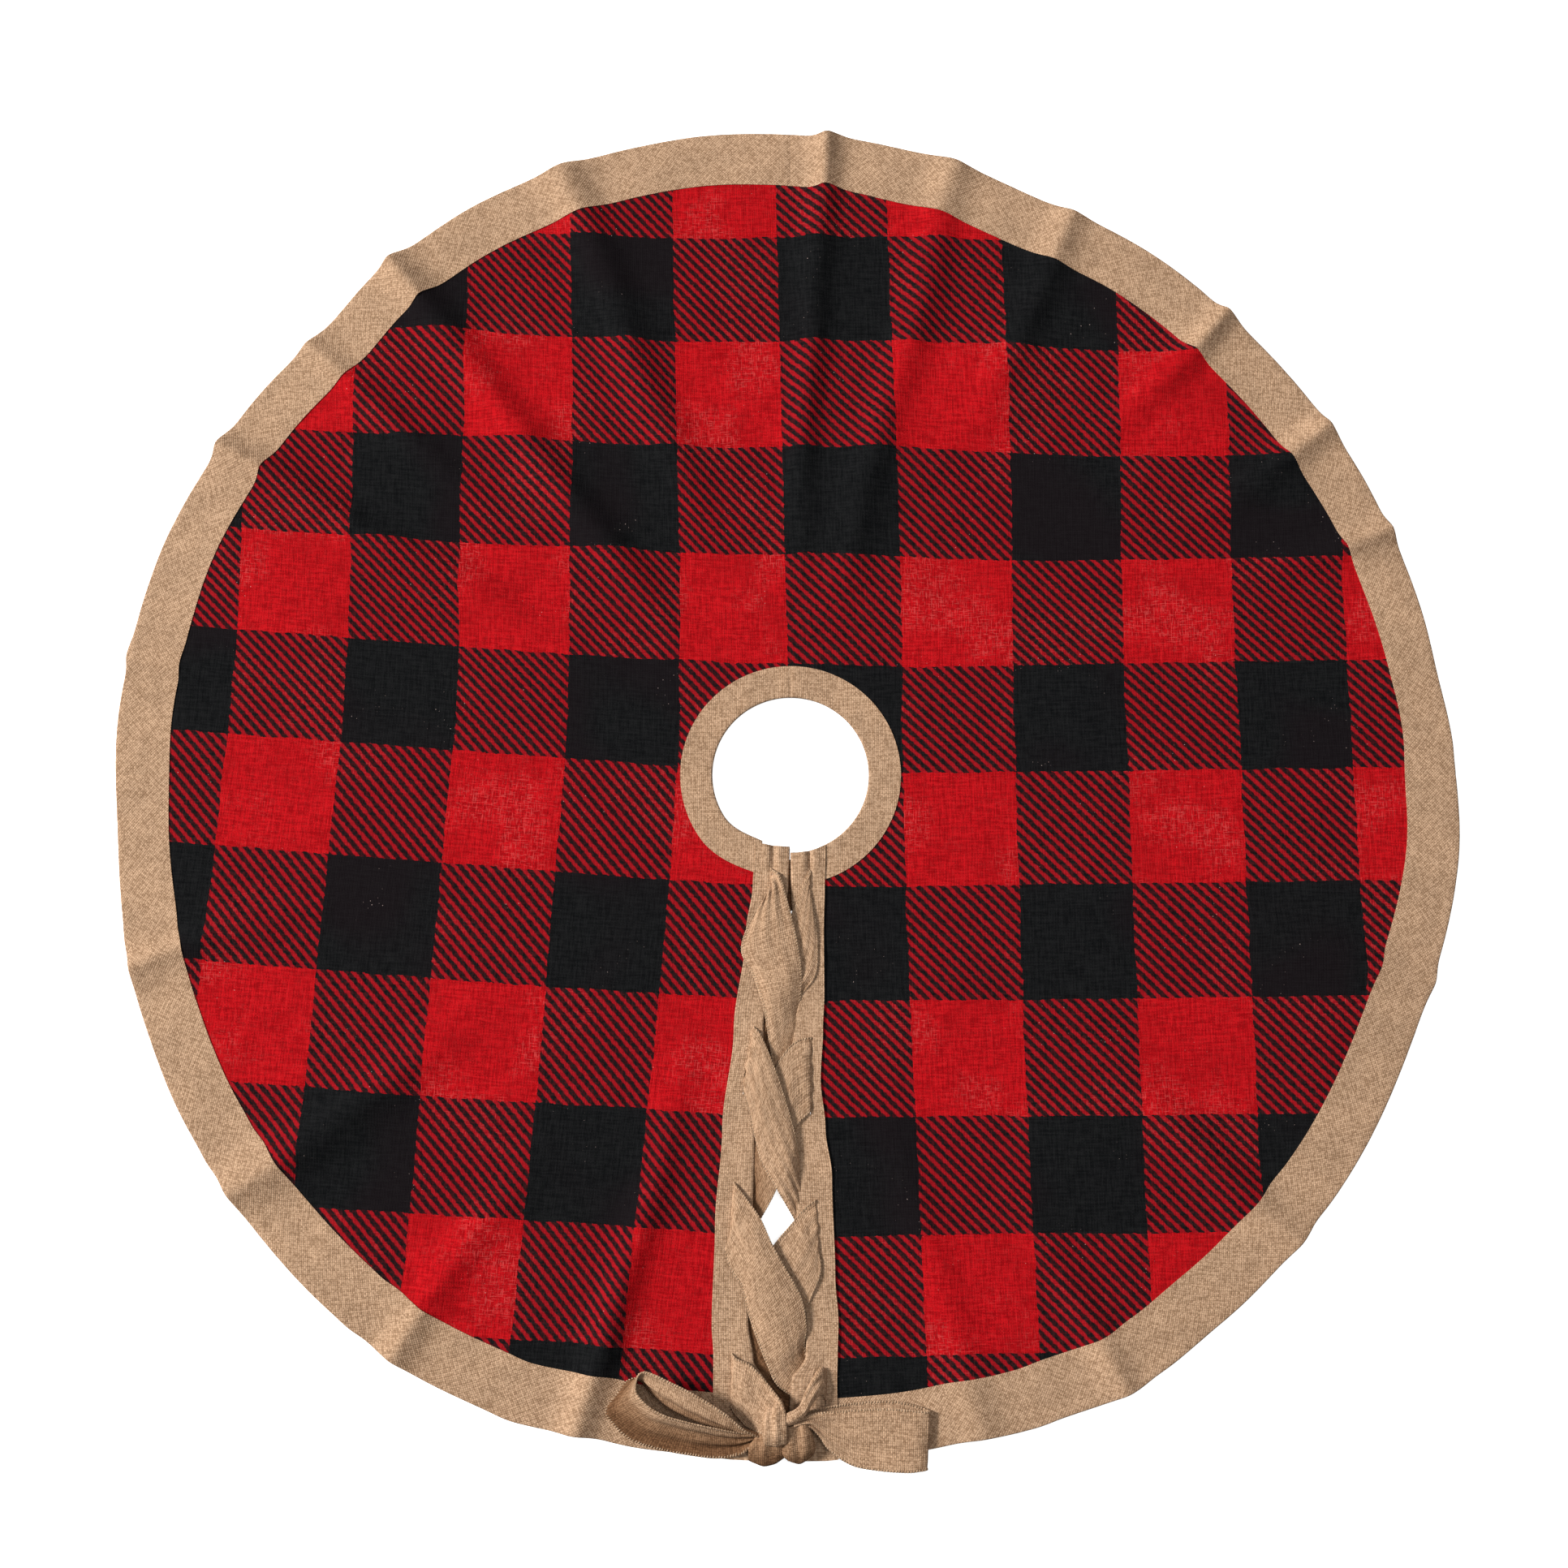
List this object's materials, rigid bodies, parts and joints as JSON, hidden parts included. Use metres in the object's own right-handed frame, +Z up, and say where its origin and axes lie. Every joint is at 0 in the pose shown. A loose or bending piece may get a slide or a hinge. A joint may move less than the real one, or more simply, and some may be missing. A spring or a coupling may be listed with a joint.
{
  "type": "tree skirt",
  "caption": "Round cloth tree skirt in buffalo check with burlap hem and neck band, slit at the front and laced shut through plackets with a burlap ribbon bow.",
  "frame": {"origin": "centre of the trunk opening, at the level of the floor that the skirt lies on", "axes": "+Z up out of the floor, -Y towards the laced slit, +X to the right when facing the slit from outside the rim"},
  "size_m": [1.2192, 1.2136, 0.0272],
  "materials": {
    "check_cloth": "coarse plain weave, printed red and black buffalo check",
    "burlap_band": "natural burlap, plain weave",
    "burlap_ribbon": "natural burlap ribbon with overlocked edges",
    "lining": "plain unbleached cotton"
  },
  "bodies": {
    "back_half": {"lining_back": "lining", "check_panel_back": "check_cloth", "hem_band_back_left": "burlap_band", "hem_band_back_right": "burlap_band", "neck_band_back": "burlap_band"},
    "front_left": {"lining_front_left": "lining", "check_panel_front_left": "check_cloth", "hem_band_front_left": "burlap_band", "neck_band_front_left": "burlap_band", "placket_left": "burlap_band"},
    "front_right": {"lining_front_right": "lining", "check_panel_front_right": "check_cloth", "hem_band_front_right": "burlap_band", "neck_band_front_right": "burlap_band", "placket_right": "burlap_band"},
    "lace": {"lace_start": "burlap_ribbon", "lace_a1": "burlap_ribbon", "lace_a2": "burlap_ribbon", "lace_a3": "burlap_ribbon", "lace_a4": "burlap_ribbon", "lace_b1": "burlap_ribbon", "lace_b2": "burlap_ribbon", "lace_b3": "burlap_ribbon", "lace_b4": "burlap_ribbon", "bow_knot": "burlap_ribbon", "bow_loop_left": "burlap_ribbon", "bow_loop_right": "burlap_ribbon", "bow_tail_left": "burlap_ribbon", "bow_tail_right": "burlap_ribbon"}
  },
  "joints": [
    {"name": "front_left_fold", "type": "hinge", "parent": "back_half", "child": "front_left", "pos_m": [0, 0, 0.009], "axis": [-1, 0, 0], "range_deg": [0, 165]},
    {"name": "front_right_fold", "type": "hinge", "parent": "back_half", "child": "front_right", "pos_m": [0, 0, 0.009], "axis": [-1, 0, 0], "range_deg": [0, 165]},
    {"name": "lace_lift", "type": "slide", "parent": "back_half", "child": "lace", "axis": [0, 0, 1], "range_m": [0, 0.15]}
  ]
}
